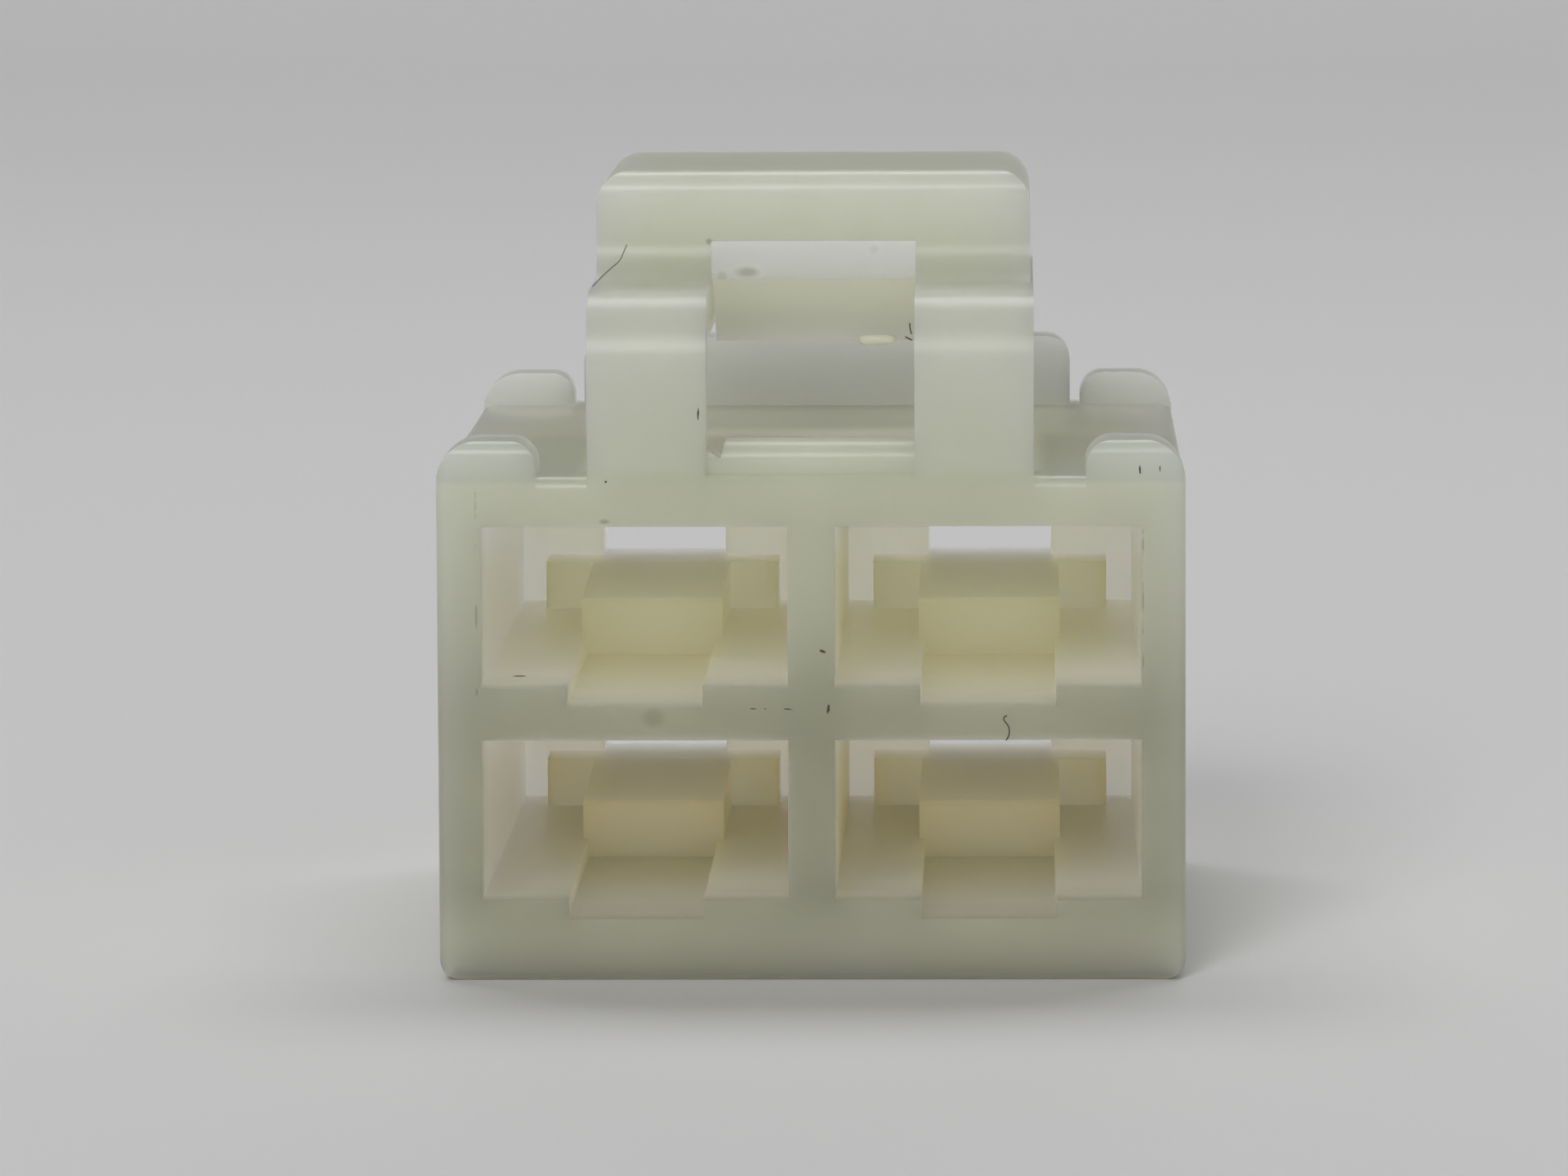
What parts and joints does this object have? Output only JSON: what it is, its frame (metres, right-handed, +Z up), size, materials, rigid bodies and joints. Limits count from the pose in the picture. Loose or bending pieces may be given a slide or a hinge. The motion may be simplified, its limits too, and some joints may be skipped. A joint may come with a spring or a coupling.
{
  "type": "wire to board connector housing",
  "caption": "Rectangular nylon connector housing with a grid of terminal cavities and a raised latch lever that hooks onto the board header.",
  "frame": {"origin": "centre of the footprint, on the face that the housing stands on", "axes": "+Z up through the latch lever, +Y from the mating face to the wire side, +X across the mating face, to the right for someone who looks at it"},
  "size_m": [0.02, 0.024, 0.0214],
  "materials": {
    "nylon": "satin"
  },
  "bodies": {
    "root": {"housing": "nylon"}
  },
  "joints": []
}
